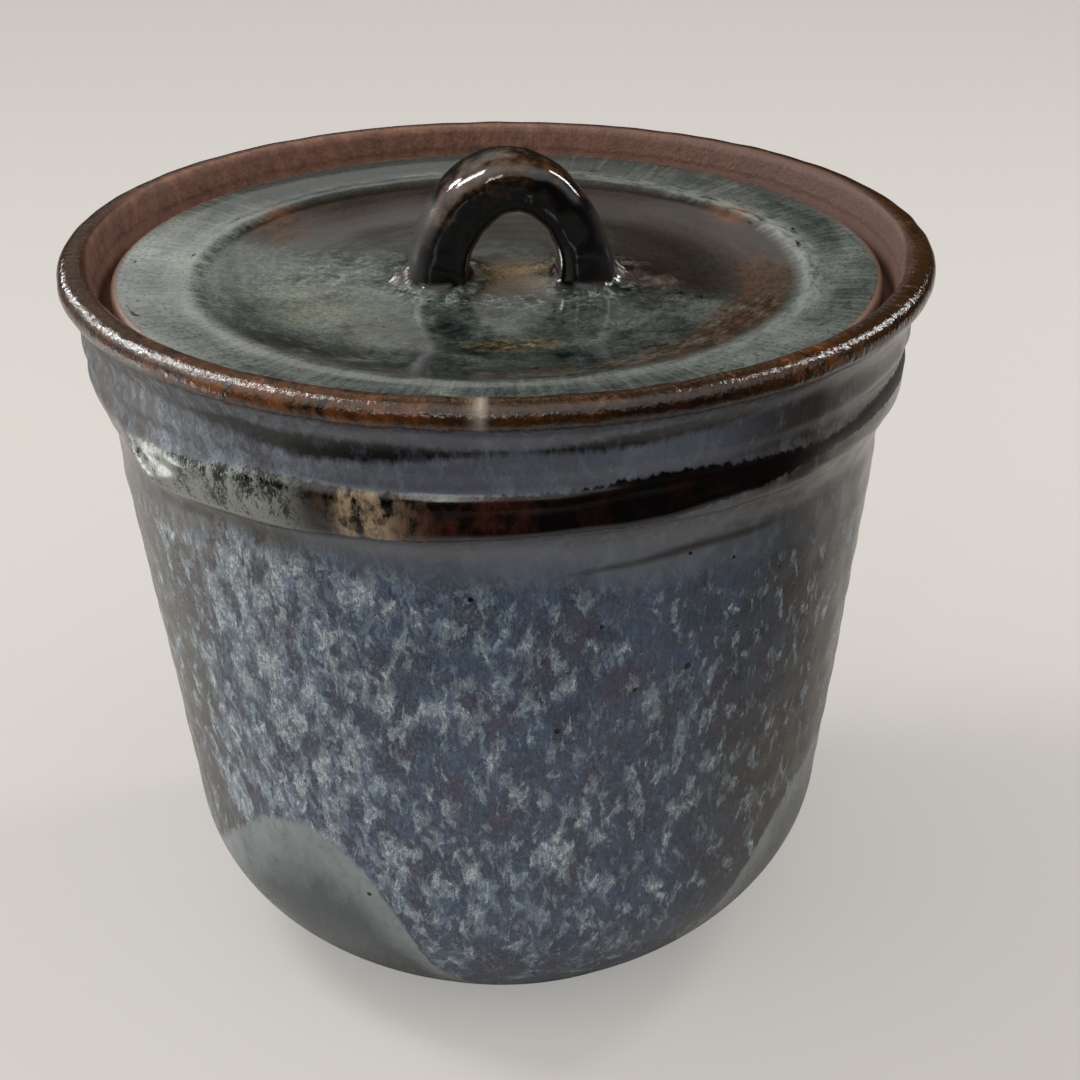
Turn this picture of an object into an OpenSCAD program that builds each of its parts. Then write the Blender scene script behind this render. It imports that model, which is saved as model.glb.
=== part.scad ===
// Lidded stoneware water jar, thrown on a wheel.
// The jar has a turned foot ring, a rounded hip, a tapered wall, a rib under its neck and a flared lip.
// The lid drops into the mouth, rests on an inner ledge and carries a luted strap handle.
// Millimetres, +Z up, origin at the middle of the foot ring on the table.

/* [Jar] */
// Diameter over the rounded lip
rim_d = 190; // [160:1:230]
// Height from the table to the top of the lip
jar_h = 164; // [130:1:210]
// Thickness of the thrown wall
wall = 6.5; // [4.5:0.5:9]
// Thickness of the floor above the foot ring
floor_t = 7; // [5:0.5:11]
// Diameter of the flat part of the floor inside
floor_flat_d = 76; // [50:1:90]
// How far the wall's top lies inside the lip, on the radius
shoulder_in = 11.4; // [9:0.1:14]
// How far the wall's top lies below the lip
shoulder_drop = 48; // [44:1:60]
// How far the wall's lower end lies inside the lip, on the radius
base_in = 22; // [16:0.5:28]
// Height of the rounded hip, from the table
hip_h = 35; // [28:1:48]

/* [Foot] */
// Diameter of the turned foot ring
foot_d = 97; // [84:1:112]
// Height of the foot ring
foot_h = 2.5; // [1.5:0.5:5]
// Width of the ring's face on the table
foot_w = 7; // [4:0.5:12]

/* [Neck and lip] */
// Radius of the lip's round outer edge
lip_round = 3; // [2.2:0.1:3.6]
// Width of the lip's top, on the radius
lip_w = 6.4; // [5:0.1:7.5]
// How far the neck's hollow lies inside the lip, on the radius
neck_in = 5.5; // [4.5:0.1:6.5]
// How far the neck's hollow lies below the lip
neck_drop = 20; // [17:0.5:22]
// How far the rib's crest stands out from the neck
rib_out = 1.1; // [0.4:0.1:2.5]
// Height of the rib
rib_h = 11; // [8:0.5:14]
// How far the rib's lower edge lies inside its crest
rib_fall = 2.6; // [1.5:0.1:3.5]

/* [Mouth] */
// How far the mouth's wall closes in from the lip down to the ledge
mouth_fall = 2.8; // [2:0.1:3.4]
// Gap around the lid's edge
lid_gap = 1.8; // [0.8:0.1:2.6]
// Width of the ledge under the lid
seat_w = 7.5; // [5:0.5:10]
// Thickness of the ledge at its edge
ledge_t = 5; // [3:0.5:8]

/* [Lid] */
// How far the lid's edge lies below the lip
lid_drop = 5.7; // [4:0.1:8]
// Thickness of the lid's edge
lid_edge_t = 6; // [4.5:0.5:8]
// Diameter of the dish in the lid's top
dish_d = 132; // [112:1:140]
// Width of the dish's sloping side
dish_slope_w = 21; // [14:1:26]
// Depth of the dish below the lid's edge
dish_depth = 3.7; // [2:0.1:5]
// How far the lid's raised ring falls from the edge to the dish
ring_fall = 1; // [0.4:0.1:1.6]
// Thickness of the lid under the dish
lid_t = 6; // [5:0.5:8]
// Gap between the lid's plug and the ledge
plug_gap = 1.5; // [0.8:0.1:2.5]

/* [Handle] */
// Width over the handle's legs
handle_w = 44; // [38:1:54]
// Height of the handle above the dish
handle_h = 29; // [25:1:36]
// Thickness of the strap, seen from the front
strap_t = 11.6; // [9:0.1:13]
// Width of the strap, from front to back
strap_w = 16; // [12:0.5:20]
// How far the handle stands to one side of the lid's middle
handle_x = 3.2; // [0:0.1:6]
// Share by which the strap swells where it is pressed to the lid
foot_swell = 0.22; // [0:0.02:0.4]

/* [Hidden] */
$fn = 144;

// Straight segments in each drawn curve
curve_steps = 9;
// Small bevel on turned edges
edge = 0.8;

// Radii of the jar, from the lip inwards
rim_r = rim_d / 2;
neck_r = rim_r - neck_in;
rib_r = neck_r + rib_out;
shoulder_r = rim_r - shoulder_in;
base_r = rim_r - base_in;
foot_r = foot_d / 2;
mouth_r = rim_r - lip_w - mouth_fall;

// Heights of the jar
neck_z = jar_h - neck_drop;
rib_low_z = neck_z - rib_h;
shoulder_z = jar_h - shoulder_drop;
floor_z = foot_h + floor_t;
seat_z = jar_h - lid_drop - lid_edge_t;

// The wall's direction, from the hip up to the shoulder
wall_run = [shoulder_r - base_r, shoulder_z - hip_h];
wall_dir = wall_run / norm(wall_run);

// How the hip leaves the foot ring, and how far each end of its curve keeps its direction
hip_lean = 34;
hip_dir = [cos(hip_lean), sin(hip_lean)];
hip_pull = 16;
hip_top_pull = 14;
hip_inner_pull = 15;
// How the lip rolls under, and how far the curves of the neck and rib keep their direction
lip_under = 48;
neck_pull = 5;
flare_dir = [sin(lip_under), cos(lip_under)];
flare_pull = 3.5;
rib_pull = 4.5;
sweep_pull = 8;
sweep_dir = [0.6, 0.8];
// Radius of the lip's inner edge, and the swell of the wall under the ledge
lip_inner_round = 1.4;
under_ledge = [4, -9];
under_ledge_pull = 12;

// Radii and heights of the lid
lid_r = mouth_r - lid_gap;
ledge_r = lid_r - seat_w;
plug_r = ledge_r - plug_gap;
dish_r = dish_d / 2;
land_r = dish_r - dish_slope_w;
lid_top_z = seat_z + lid_edge_t;
dish_z = lid_top_z - dish_depth;
dish_rim_z = lid_top_z - ring_fall;
plug_z = dish_z - lid_t;
lid_round = 1.5;
plug_round = 2;
dish_pull = 7;

// The handle's arch: rings along the strap, points around it, and how square the strap's section is
arch_rings = 36;
strap_points = 24;
strap_square = 0.75;
swell_reach = 4;
arch_mid_w = handle_w / 2 - strap_t / 2;
arch_mid_h = handle_h - strap_t / 2;

// Points of the cubic curve from a to d that leaves a towards b and reaches d from c
function curve(a, b, c, d) = [
    for (i = [0 : curve_steps])
        let (t = i / curve_steps, s = 1 - t)
        s * s * s * a + 3 * s * s * t * b + 3 * s * t * t * c + t * t * t * d
];

// Points of an arc about centre c, from angle a to angle b
function arc(c, r, a, b) = [
    for (i = [0 : curve_steps])
        let (t = a + (b - a) * i / curve_steps)
        c + r * [cos(t), sin(t)]
];

// A power that keeps the sign, for the strap's rounded section
function soft(v) = sign(v) * pow(abs(v), strap_square);

// Turned foot ring, from the recess under the floor to the hip
function foot_outline() = [
    [0, foot_h],
    [foot_r - foot_w, foot_h],
    [foot_r - foot_w, edge],
    [foot_r - foot_w + edge, 0],
    [foot_r - edge, 0],
    [foot_r, edge],
];

// Hip and wall outside, up to the shoulder
function wall_outline() = concat(
    curve(
        [foot_r, foot_h],
        [foot_r, foot_h] + hip_pull * hip_dir,
        [base_r, hip_h] - hip_top_pull * wall_dir,
        [base_r, hip_h]
    ),
    curve(
        [shoulder_r, shoulder_z],
        [shoulder_r, shoulder_z] + sweep_pull * wall_dir,
        [rib_r - rib_fall, rib_low_z] - sweep_pull * sweep_dir,
        [rib_r - rib_fall, rib_low_z]
    )
);

// Rib, hollow neck and rolled lip outside
function neck_outline() = let (
    lip_c = [rim_r - lip_round, jar_h - lip_round],
    lip_low = lip_c + lip_round * [cos(lip_under), -sin(lip_under)]
) concat(
    curve(
        [rib_r - rib_fall, rib_low_z],
        [rib_r + rib_out / 2, rib_low_z + rib_pull / 2],
        [rib_r + rib_out / 2, neck_z - rib_pull],
        [neck_r, neck_z]
    ),
    curve(
        [neck_r, neck_z],
        [neck_r, neck_z + neck_pull],
        lip_low - flare_pull * flare_dir,
        lip_low
    ),
    arc(lip_c, lip_round, -lip_under, 90)
);

// Mouth, ledge and inside, down to the middle of the floor
function inner_outline() = let (
    lip_in = rim_r - lip_w,
    under = [ledge_r, seat_z - ledge_t],
    top = [shoulder_r - wall, shoulder_z],
    low = [base_r - wall, hip_h],
    flat_r = floor_flat_d / 2
) concat(
    arc([lip_in + lip_inner_round, jar_h - lip_inner_round], lip_inner_round, 90, 180),
    [
        [mouth_r, seat_z],
        [ledge_r + edge, seat_z],
        [ledge_r, seat_z - edge],
    ],
    curve(under, under + under_ledge, top + under_ledge_pull * wall_dir, top),
    curve(low, low - hip_inner_pull * wall_dir, [flat_r + hip_inner_pull, floor_z], [flat_r, floor_z]),
    [[0, floor_z]]
);

module jar_body() {
    color("#565b66")
        rotate_extrude()
            polygon(concat(foot_outline(), wall_outline(), neck_outline(), inner_outline()));
}

module lid_plate() {
    color("#6f7672")
        rotate_extrude()
            polygon(concat(
                [[0, plug_z]],
                arc([plug_r - plug_round, plug_z + plug_round], plug_round, -90, 0),
                [
                    [plug_r, seat_z],
                    [lid_r - edge, seat_z],
                    [lid_r, seat_z + edge],
                ],
                arc([lid_r - lid_round, lid_top_z - lid_round], lid_round, 0, 90),
                curve(
                    [dish_r, dish_rim_z],
                    [dish_r - dish_pull, dish_rim_z],
                    [land_r + dish_pull, dish_z],
                    [land_r, dish_z]
                ),
                [[0, dish_z]]
            ));
}

// The strap is a half ring drawn out to the handle's height. Turn runs along the arch from one
// foot to the other, and round runs about the strap. It swells towards the lid at both feet.
function strap_point(turn, round) = let (
    swell = 1 + foot_swell * pow(1 - sin(turn), swell_reach),
    out = strap_t / 2 * soft(cos(round))
) [
    handle_x + (arch_mid_w + out * swell) * cos(turn),
    strap_w / 2 * soft(sin(round)) * swell,
    dish_z + (arch_mid_h + out) * sin(turn),
];

module lid_handle() {
    last = arch_rings * strap_points;
    points = [
        for (i = [0 : arch_rings], j = [0 : strap_points - 1])
            strap_point(180 * i / arch_rings, 360 * j / strap_points)
    ];
    sides = [
        for (i = [0 : arch_rings - 1], j = [0 : strap_points - 1])
            let (
                k = (j + 1) % strap_points,
                a = i * strap_points + j,
                b = i * strap_points + k
            )
            each [[a, b, a + strap_points], [b, b + strap_points, a + strap_points]]
    ];
    ends = [
        [for (j = [strap_points - 1 : -1 : 0]) j],
        [for (j = [0 : strap_points - 1]) last + j],
    ];
    color("#2a1d17")
        polyhedron(points, concat(sides, ends));
}

jar_body();
lid_plate();
lid_handle();
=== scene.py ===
from functools import partial
from types import SimpleNamespace as Named
import bpy
import numpy as np
from mathutils import Matrix, Vector


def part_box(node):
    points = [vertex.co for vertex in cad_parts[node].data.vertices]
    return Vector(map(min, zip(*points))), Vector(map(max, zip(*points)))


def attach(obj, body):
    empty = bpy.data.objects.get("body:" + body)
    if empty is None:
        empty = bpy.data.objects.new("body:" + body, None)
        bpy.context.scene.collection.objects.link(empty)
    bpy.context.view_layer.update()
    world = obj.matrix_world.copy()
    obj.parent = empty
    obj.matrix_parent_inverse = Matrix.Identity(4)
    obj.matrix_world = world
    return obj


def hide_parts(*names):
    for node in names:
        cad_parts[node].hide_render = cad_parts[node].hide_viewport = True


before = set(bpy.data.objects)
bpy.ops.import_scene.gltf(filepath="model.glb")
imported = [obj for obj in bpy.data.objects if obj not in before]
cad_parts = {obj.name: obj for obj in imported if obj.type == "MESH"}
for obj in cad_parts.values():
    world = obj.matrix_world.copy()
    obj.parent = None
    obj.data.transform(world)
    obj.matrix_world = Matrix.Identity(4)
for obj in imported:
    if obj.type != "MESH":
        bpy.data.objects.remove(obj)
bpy.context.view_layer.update()  # bodies jar and lid, metres, +Z up, photographed side towards -Y
mm = 0.001  # sizes of the pieces are in millimetres


def linear(hexText):  # sRGB hex to linear RGBA
    code = np.array([int(hexText[i:i + 2], 16) for i in (1, 3, 5)]) / 255
    return (*np.where(code <= 0.04045, code / 12.92, ((code + 0.055) / 1.055) ** 2.4).tolist(), 1.0)


# Settings that many nodes share
blend = dict(data_type="RGBA")  # mix of two colours
smooth = dict(interpolation_type="SMOOTHSTEP")  # map range: value, from, to, least, most
plus, minus, times, timesPlus, larger = (
    dict(operation=name) for name in ("ADD", "SUBTRACT", "MULTIPLY", "MULTIPLY_ADD", "MAXIMUM"))


def add(tree, kind, inputs=(), out=None, ramp=None, **settings):
    # one node, its settings and links; a row of inputs fills the sockets in use in order; gives one output
    node = tree.nodes.new("ShaderNode" + kind)
    for name, value in settings.items():
        setattr(node, name, value)
    if ramp:
        stops = node.color_ramp.elements
        stops.remove(stops[1])
        stops[0].position, stops[0].color = ramp[0]
        for place, shade in ramp[1:]:
            stops.new(place).color = shade
    if isinstance(inputs, dict):
        pairs = [(node.inputs[label], value) for label, value in inputs.items()]
    else:
        pairs = zip([socket for socket in node.inputs if socket.enabled], inputs)
    for socket, value in pairs:
        if isinstance(value, bpy.types.NodeSocket):
            tree.links.new(value, socket)
        else:
            socket.default_value = value
    return node.outputs[out] if out else next((socket for socket in node.outputs if socket.enabled), None)


def per(size):  # noise scale for a pattern of this many mm
    return 1 / (size * mm)


def skin(name, rings, poles, paint):
    # closed skin: ring i joins ring i + 1, each ring closes on itself, a fan to a pole closes each end
    count, around = rings.shape[:2]
    points = np.concatenate([rings.reshape(-1, 3), np.array(poles)]) * mm
    here = np.arange(count * around).reshape(count, around)
    beside = np.roll(here, -1, axis=1)
    quads = np.stack([here[:-1], beside[:-1], beside[1:], here[1:]], axis=-1).reshape(-1, 4)
    start = np.stack([beside[0], here[0], np.full(around, len(points) - 2)], axis=-1)
    end = np.stack([here[-1], beside[-1], np.full(around, len(points) - 1)], axis=-1)
    mesh = bpy.data.meshes.new(name)
    mesh.from_pydata(points.tolist(), [], quads.tolist() + start.tolist() + end.tolist())
    for label, values in paint.items():  # one painted value for each point
        values = np.broadcast_to(values, (count, around))
        flat = np.concatenate([values.ravel(), [values[0].mean(), values[-1].mean()]])
        mesh.attributes.new(label, "FLOAT", "POINT").data.foreach_set("value", flat.astype(np.float32))
    mesh.shade_smooth()
    piece = bpy.data.objects.new(name, mesh)
    bpy.context.scene.collection.objects.link(piece)
    print(name, len(points), "points", 2 * len(quads) + len(start) + len(end), "triangles")
    return piece


def bow(a, b, c, d, steps=60):  # cubic curve that leaves a towards b and reaches d from c
    t = np.linspace(0, 1, steps)[:, None]
    a, b, c, d = (np.array(p, float) for p in (a, b, c, d))
    return (1 - t) ** 3 * a + 3 * (1 - t) ** 2 * t * b + 3 * (1 - t) * t ** 2 * c + t ** 3 * d


def swing(centre, radius, start, end, steps=24):  # arc about centre, angles in degrees
    t = np.radians(np.linspace(start, end, steps))[:, None]
    return np.array(centre) + radius * np.concatenate([np.cos(t), np.sin(t)], axis=1)


def evenly(path, spacing):  # the same line with points about spacing apart, measured along it
    run = np.concatenate([[0], np.cumsum(np.linalg.norm(np.diff(path, axis=0), axis=1))])
    keep = np.concatenate([[True], np.diff(run) > 1e-6])
    at = np.linspace(0, run[-1], max(2, round(run[-1] / spacing)))
    return np.stack([np.interp(at, run[keep], path[keep, k]) for k in (0, 1)], axis=1)


def facing(path):  # unit normals of a line, to the right of its direction of travel
    along = np.gradient(path, axis=0)
    along /= np.linalg.norm(along, axis=1)[:, None]
    return np.stack([along[:, 1], -along[:, 0]], axis=1)


def ease(value, low, high):  # smooth step from 0 at low to 1 at high
    t = np.clip((value - low) / (high - low), 0, 1)
    return t * t * (3 - 2 * t)


def zone(value, low, full, fade, end):  # 0 below low, 1 from full to fade, 0 again past end
    return ease(value, low, full) * (1 - ease(value, fade, end))


def mound(value, middle, reach):  # bell of height 1 about middle
    return np.exp(-(((value - middle) / reach) ** 2))


def blob(u, v, share, uMiddle, uReach, vMiddle, vReach):  # oval bell of height share
    return share * mound(u, uMiddle, uReach) * mound(v, vMiddle, vReach)


def smear(x, y, x0, y0, x1, y1, wide):  # bell along a line, 1 on the line itself
    run, fall = x1 - x0, y1 - y0
    t = np.clip(((x - x0) * run + (y - y0) * fall) / (run ** 2 + fall ** 2), 0, 1)
    return np.exp(-(((x - x0 - t * run) ** 2 + (y - y0 - t * fall) ** 2) / wide ** 2))


def boxy(value, power):  # bends a circle's sine or cosine towards a box
    return np.sign(value) * np.abs(value) ** power


def spinOf(columns):  # angles round the axis, and bearings: 0 at the front, + to the right
    turn = np.linspace(0, 2 * np.pi, columns, endpoint=False)[None, :]
    return turn, np.degrees(np.arctan2(np.cos(turn), -np.sin(turn)))


def roundPot(bearing, pairs):  # value all round the pot, through pairs of bearing and value
    return np.interp(bearing, *zip(*pairs), period=360)


def unrest(turn, along, size, seed, girth=534.0, waves=28):
    # unevenness left by hands and glaze: a sum of waves round the axis and along it, each with its own
    # whole number of turns, length near size and phase; runs from about -1 to 1
    dice = np.random.default_rng(seed)
    most = max(2, int(girth / size))
    turns = dice.integers(0, most, waves)
    rate = dice.normal(0, 2 * np.pi / size / 1.6, waves)
    phase = dice.uniform(0, 2 * np.pi, waves)
    total = sum(np.cos(n * turn + k * along + p) for n, k, p in zip(turns, rate, phase))
    return total / np.sqrt(waves)


# Jar, thrown in one piece
jarHigh = np.array(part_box("jar_body")[1]) / mm
jar = dict(
    rimR=jarHigh[0], height=jarHigh[2], wall=6.5, floorT=7.0, floorFlatR=38.0, axisGap=0.6,
    footR=48.5, footH=2.5, footW=7.0, edge=0.8,
    baseIn=22.0, hipH=35.0, hipLean=34.0, hipPull=16.0, hipTopPull=14.0, hipInnerPull=15.0,
    shoulderIn=11.4, shoulderDrop=48.0, sweepPull=8.0, sweepDir=(0.6, 0.8),
    neckIn=5.5, neckDrop=20.0, ribOut=1.1, ribH=11.0, ribFall=2.6, ribPull=4.5,
    lipRound=3.0, lipW=6.4, lipUnder=48.0, lipInnerRound=1.4, neckPull=5.0, flarePull=3.5,
    mouthFall=2.8, lidGap=1.8, seatW=7.5, seatDrop=11.7, ledgeT=5.0, underLedge=(4, -9), underLedgePull=12.0,
    columns=340, wallStep=1.5, neckStep=0.75, mouthStep=1.2, insideStep=4.0,
    # where each part of the outside starts, is full, fades and ends, by height; the lip also by radius
    wallZone=(28, 45, 128, 136), neckZone=(128, 134, 156, 159), lipZone=(155, 160), lipZoneR=(86, 89),
    # marks of the hand: heights in mm, bells as middle and reach, waves as size in mm and seed
    ridge=0.75, ridgeZ=(148.2, 2.1), hollow=0.45, hollowZ=(153.2, 2.4), ridgeUneven=0.35, ridgeWaves=(160, 3),
    ribEdge=0.42, ribEdgeIn=1.6, ribEdgeWide=1.5, ribHollow=0.3, ribHollowWide=2.4,
    ribLowEdge=0.714, lowEdgeIn=1.3, lowEdgeWide=1.4, ribPress=2.7, pressZ=(136.0, 5.6),
    ribLean=0.45, leanZ=(136.5, 4.5), leanBearing=(-49.5, 4.0),
    folds=0.16, foldSlant=0.05, foldWaves=(11, 8), foldBearing=(52, 22), foldZ=(129, 9),
    ringDeep=0.08, ringStep=8.5, ringWander=1.2, ringWaves=(90, 4),
    insideRing=0.35, insideRingStep=7.0, insideFrom=(12, 30),
    lumps=0.14, lumpWaves=(34, 5), glazeLumps=0.07, glazeWaves=(9, 6), ovalness=0.3, ovalTurn=0.6,
    lipWave=0.3, lipWaves=(150, 7), lipMost=0.6,
    bodyShift=0.8, bodyZone=(8, 40, 60, 120), neckShift=-0.8, neckShiftZ=(139, 9),  # the jar leans a little
    # pairs of bearing and value: dark band on the rib, how full the rib is, its lower edge
    bandTop=((-180, 142.5), (-120, 143), (-85, 141), (-60, 137), (-54.5, 139.2), (-52, 141), (-41, 142.2), (-31, 144),
             (-20, 143.3), (0, 143.2), (9, 143.4), (16, 144.6), (24, 144.9), (32, 143.7), (41, 142.6), (48, 141.8),
             (54, 142.4), (62, 143.6), (72, 143.8), (85, 143.2), (110, 142.8), (150, 143.5)),
    bandLow=((-180, 134), (-120, 135), (-85, 139), (-64, 143), (-55.5, 139.5), (-53, 135.0), (-48, 131), (-40, 131.4),
             (-27, 131.4), (-13, 132.4), (2, 133.6), (9, 134.5), (22, 134.6), (28, 136.6), (35, 137.1), (41, 138.4),
             (50, 139.1), (61, 139.6), (72, 139.8), (85, 139.4), (110, 137), (150, 133.5)),
    ribFull=((-180, 0.9), (-125, 0.8), (-104, 0.35), (-88, 0.0), (-62, 0.0), (-54, 0.85), (-47, 1), (30, 1),
             (60, 0.7), (110, 0.9)),
    lowEdge=((-180, 0.8), (-125, 0.6), (-100, 0.0), (-60, 0.0), (-53, 1.2), (-45, 1.5), (-28, 1.4), (-10, 1.0),
             (10, 0.8), (24, 0.6), (38, 0.2), (60, 0.1), (110, 0.5), (150, 0.9)),
    # pale scallops along the hip, stripe in the neck's hollow, line under the rib, bare clay inside the lip
    patchTop=((-180, 42), (-168, 20), (-150, 10), (-136, 34), (-124, 50), (-112, 44), (-100, 24), (-88, 12),
              (-75, 24), (-61.7, 33.7), (-51, 44.9), (-42.8, 51.9), (-35.8, 53.8), (-28.2, 49.6), (-23.3, 41.8),
              (-18.6, 31.9), (-14.8, 19), (-8, 6), (10, 2), (35, 6), (41, 20), (45, 30), (48, 35), (51, 40), (55, 44),
              (60, 48), (68, 52), (78, 52), (88, 44), (98, 26), (108, 10), (124, 14), (138, 38), (150, 52), (162, 55),
              (172, 50)),
    stripeZ=((-60, 153.5), (-36, 152.8), (-25, 151.1), (-9.5, 151.9), (7.7, 152.3), (35.3, 154.9), (70, 155),
             (150, 152)),
    stripeHalf=((-60, -2), (-42, 0.4), (-34, 1.7), (-24, 2.2), (-14, 1.9), (-6, 0.7), (2, -0.3), (8, 0.7), (18, 1.5),
                (31, 1.3), (38, -0.8), (60, -2), (100, -1), (120, 0.8), (150, 0.9), (165, -1.5), (-150, -1),
                (-120, 1.0), (-90, -1.5)),
    lineZ=((-20, 122), (5.8, 122.5), (27.7, 125.2), (42, 124.7), (70, 124), (140, 123), (-120, 124)),
    lineHalf=((-20, -3), (4, -1.2), (12, 0.2), (24, 0.7), (36, 0.6), (46, -0.6), (60, -3), (120, -3), (140, 0.4),
              (165, -3), (-110, -3), (-120, 0.3), (-135, -3)),
    clayEdge=((-180, 91.6), (-130, 91.0), (-100, 89.6), (-70, 88.0), (70, 88.0), (100, 89.6), (130, 91.0)),
    # pairs of bearing and share: rib patches, runs, warmth, lip tones, and painted shade on the far lip and the clay
    ribPale=((-75, 0), (-53, 1), (-31, 1), (-27, 0.6), (-24, 0.1), (-22, 0), (0, 0), (78, 0), (94, 0.5), (115, 0),
             (180, 0.2), (-140, 0.7), (-110, 0)),
    ribAmber=((-23, 0), (-20.5, 0.2), (-19, 1), (-14, 1), (-12.5, 0.45), (-10, 0.15), (-7, 0), (90, 0), (125, 1),
              (150, 0), (-90, 0), (-78, 0.3), (-60, 0)),
    ribRed=((-40, 0.1), (-20, 0.5), (-10, 1), (0, 0.7), (10, 0.3), (18, 0.12), (40, 0.08), (100, 0.1), (150, 0.7),
            (-120, 0.3)),
    bandDry=((38, 0), (56, 1), (86, 1), (105, 0), (-60, 0)),  # iron left dry at the right, off the puddled band
    flecky=((-180, 0.55), (-120, 0.5), (-80, 0.35), (-60, 0.6), (-48, 0.95), (-38, 1.15), (-25, 1.12), (-8, 0.66),
            (20, 0.38), (45, 0.12), (70, 0.1), (110, 0.6), (150, 0.8)),
    warmSide=((-180, 0.4), (-90, 0.9), (-58, 0.8), (-44, 0.25), (0, 0.0), (30, 0.2), (42, 0.55), (60, 0.9), (95, 0.5),
              (140, 0.1)),
    warmSpot=1.7, warmSpotBearing=(-50, 17), warmSpotZ=(127, 9),
    neckLeft=((-100, 0.2), (-75, 0.5), (-45, 0.7), (-28, 0.4), (-15, 0), (60, 0), (90, 0.4), (130, 0), (-140, 0)),
    neckFrom=(140, 143),
    lipOrange=((-180, 0.2), (-100, 0.2), (-60, 0.2), (-40, 0.7), (-30, 1), (-13, 1), (-7, 0.35), (10, 0.3),
               (20, 0.15), (34, 0.25), (40, 0.85), (47, 0.5), (58, 0.15), (90, 0.3), (140, 0.2)),
    orangeLoss=0.6, orangeLossZ=(161.5, 163.4), lipLowZ=158.4, dripBearing=(-2.3, 0.7),
    # lip darker at the back as painted shade; at the front, dark patches in the glaze
    lipDark=((-180, 0.95), (-120, 0.7), (-85, 0.2), (-60, 0.1), (-45, 0.45), (-30, 0.1), (0, 0.4), (12, 0.5),
             (18, 0.85), (25, 0.7), (36, 0.2), (48, 0.5), (65, 0.5), (85, 0.2), (120, 0.7), (150, 0.9)),
    # clay in the mouth darker towards the right: painted shade
    clayDeep=((-180, 0.1), (-60, 0), (10, 0.2), (60, 0.7), (100, 0.85), (135, 0.9), (165, 0.45)),
    clayTopZ=163.0, clayZ=(-162.6, -161.2), clayBlur=0.6, clayFootIn=0.5, hipTopZ=90.0, spinR=95.0,
    # burst bubbles in the glaze: bearing, height, width
    pinholes=((27.8, 96.1, 1.1), (7.0, 86.1, 0.95), (-3.9, 118.3, 0.75), (19.5, 93.9, 0.75), (13.5, 110.6, 0.65),
              (35.6, 102.2, 0.65), (26.3, 123.4, 0.6), (34.1, 119.9, 0.6), (43.7, 113.5, 0.6), (-24.5, 38.9, 0.7),
              (148.0, 88.0, 1.1), (-130.0, 104.0, 0.9)))


def jarOutline(j):  # line round one half of the section: under the foot, up outside, over the lip, down inside
    top, rim = j.height, j.rimR
    footR, footH, edge = j.footR, j.footH, j.edge
    neckR, neckZ = rim - j.neckIn, top - j.neckDrop
    ribR, ribLow = neckR + j.ribOut, neckZ - j.ribH
    ribBulge = ribR + j.ribOut / 2
    shoulder = np.array([rim - j.shoulderIn, top - j.shoulderDrop])
    base = np.array([rim - j.baseIn, j.hipH])
    wallDir = (shoulder - base) / np.linalg.norm(shoulder - base)
    lean, under = np.radians(j.hipLean), np.radians(j.lipUnder)
    foot = np.array([footR, edge])
    ribFoot = np.array([ribR - j.ribFall, ribLow])
    lipMid = np.array([rim - j.lipRound, top - j.lipRound])
    lipLow = lipMid + j.lipRound * np.array([np.cos(under), -np.sin(under)])
    footIn = footR - j.footW
    below = np.array([[j.axisGap, footH], [footIn, footH], [footIn, edge], [footIn + edge, 0], [footR - edge, 0], foot])
    hipDir = np.array([np.cos(lean), np.sin(lean)])
    wall = np.concatenate([bow(foot, foot + j.hipPull * hipDir, base - j.hipTopPull * wallDir, base), [shoulder]])
    sweep, flare = np.array(j.sweepDir), np.array([np.sin(under), np.cos(under)])
    neck = np.concatenate([
        bow(shoulder, shoulder + j.sweepPull * wallDir, ribFoot - j.sweepPull * sweep, ribFoot),
        bow(ribFoot, [ribBulge, ribLow + j.ribPull / 2], [ribBulge, neckZ - j.ribPull], [neckR, neckZ]),
        bow([neckR, neckZ], [neckR, neckZ + j.neckPull], lipLow - j.flarePull * flare, lipLow),
        swing(lipMid, j.lipRound, -j.lipUnder, 90)])
    lipIn = rim - j.lipW
    mouthR = lipIn - j.mouthFall
    ledgeR = mouthR - j.lidGap - j.seatW
    seatZ = top - j.seatDrop
    ledge = np.array([ledgeR, seatZ - j.ledgeT])
    inTop, inLow = shoulder - [j.wall, 0], base - [j.wall, 0]
    floorZ, flatR = footH + j.floorT, j.floorFlatR
    inner = j.lipInnerRound
    mouth = np.concatenate([
        swing([lipIn + inner, top - inner], inner, 90, 180),
        [[mouthR, seatZ], [ledgeR + edge, seatZ], [ledgeR, seatZ - edge], ledge]])
    inside = np.concatenate([
        bow(ledge, ledge + j.underLedge, inTop + j.underLedgePull * wallDir, inTop),
        bow(inLow, inLow - j.hipInnerPull * wallDir, [flatR + j.hipInnerPull, floorZ], [flatR, floorZ]),
        [[j.axisGap, floorZ]]])
    steps = [vars(j)[name] for name in ("insideStep", "wallStep", "neckStep", "mouthStep", "insideStep")]
    parts = [evenly(line, step) for line, step in zip((below, wall, neck, mouth, inside), steps)]
    side = np.concatenate([np.full(len(p), k) for p, k in zip(parts, (0, 1, 1, 2, 3))])  # below, outside, mouth, inside
    path = np.concatenate(parts)
    keep = np.concatenate([[True], np.linalg.norm(np.diff(path, axis=0), axis=1) > 1e-4])
    return path[keep], side[keep]


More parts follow.
